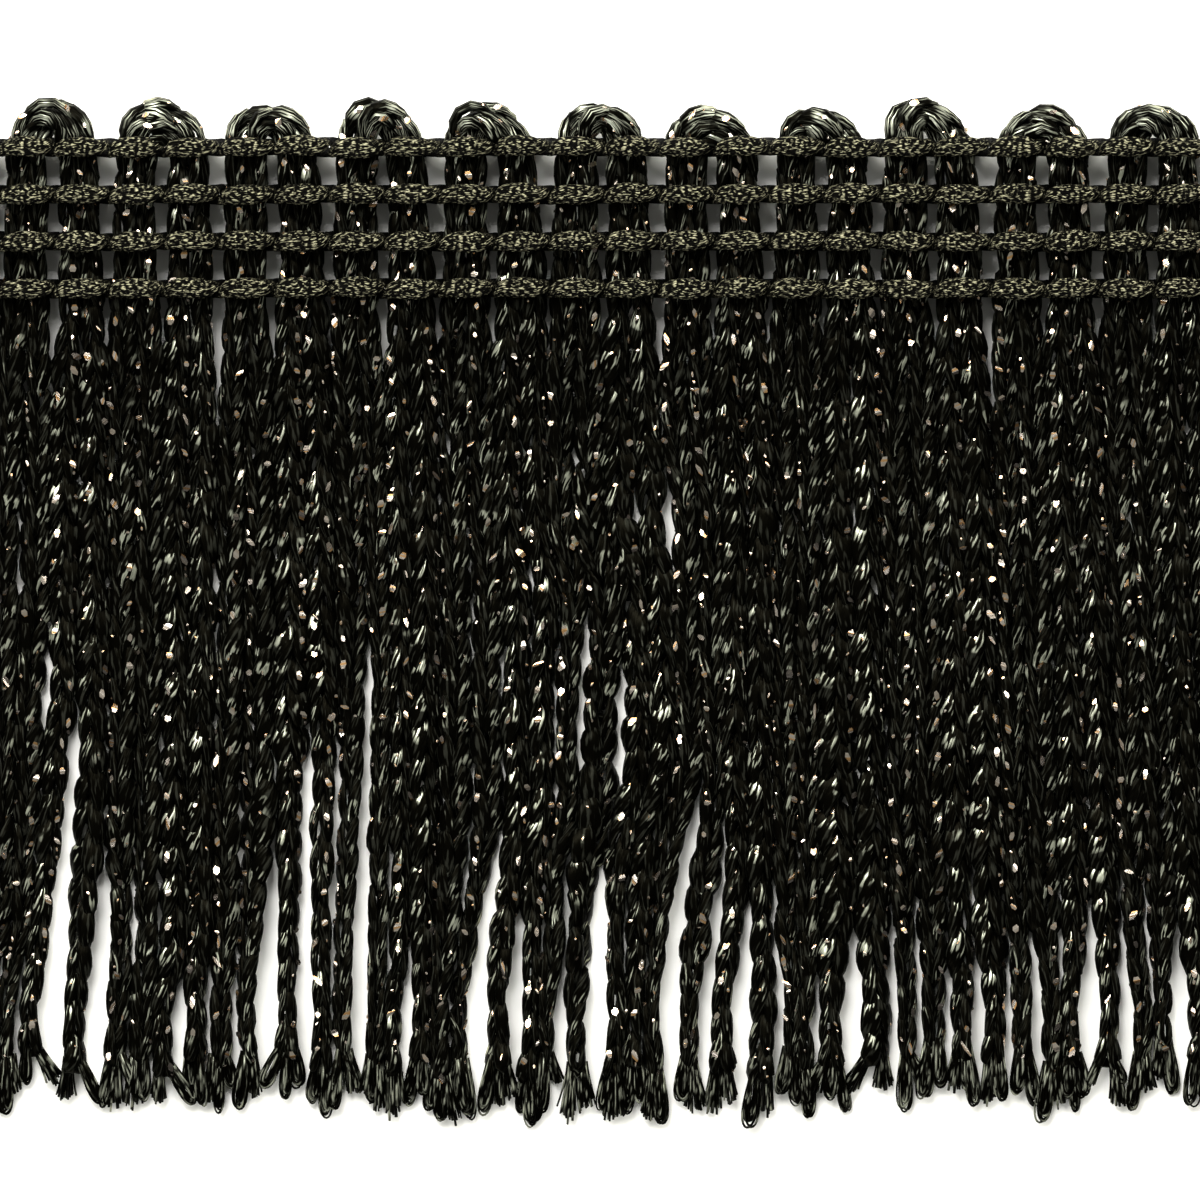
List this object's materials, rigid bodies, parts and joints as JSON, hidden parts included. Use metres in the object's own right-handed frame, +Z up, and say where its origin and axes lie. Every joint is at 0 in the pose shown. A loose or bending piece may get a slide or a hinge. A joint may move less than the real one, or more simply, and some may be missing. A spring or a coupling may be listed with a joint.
{
  "type": "chainette fringe trim",
  "caption": "Cut length of black chainette fringe: doubled strands loop over scallops, are held side by side by rows of twined cord, and hang free below.",
  "frame": {"origin": "middle of the trim's length and drop, on the surface that the trim lies on", "axes": "+X along the trim, +Y from the strand tips towards the scallops, +Z up from the surface, out of the trim's face"},
  "size_m": [0.0739, 0.0508, 0.0026],
  "materials": {
    "chainette": "shiny black filament yarn knitted with a dark metallic film",
    "heading_cord": "dull brown-black multifilament cord"
  },
  "bodies": {
    "root": {"chainette_loop_01": "chainette", "chainette_loop_02": "chainette", "chainette_loop_03": "chainette", "chainette_loop_04": "chainette", "chainette_loop_05": "chainette", "chainette_loop_06": "chainette", "chainette_loop_07": "chainette", "chainette_loop_08": "chainette", "chainette_loop_09": "chainette", "chainette_loop_10": "chainette", "chainette_loop_11": "chainette", "chainette_loop_12": "chainette", "chainette_loop_13": "chainette", "heading_cord_1": "heading_cord", "heading_cord_2": "heading_cord", "heading_cord_3": "heading_cord", "heading_cord_4": "heading_cord"}
  },
  "joints": []
}
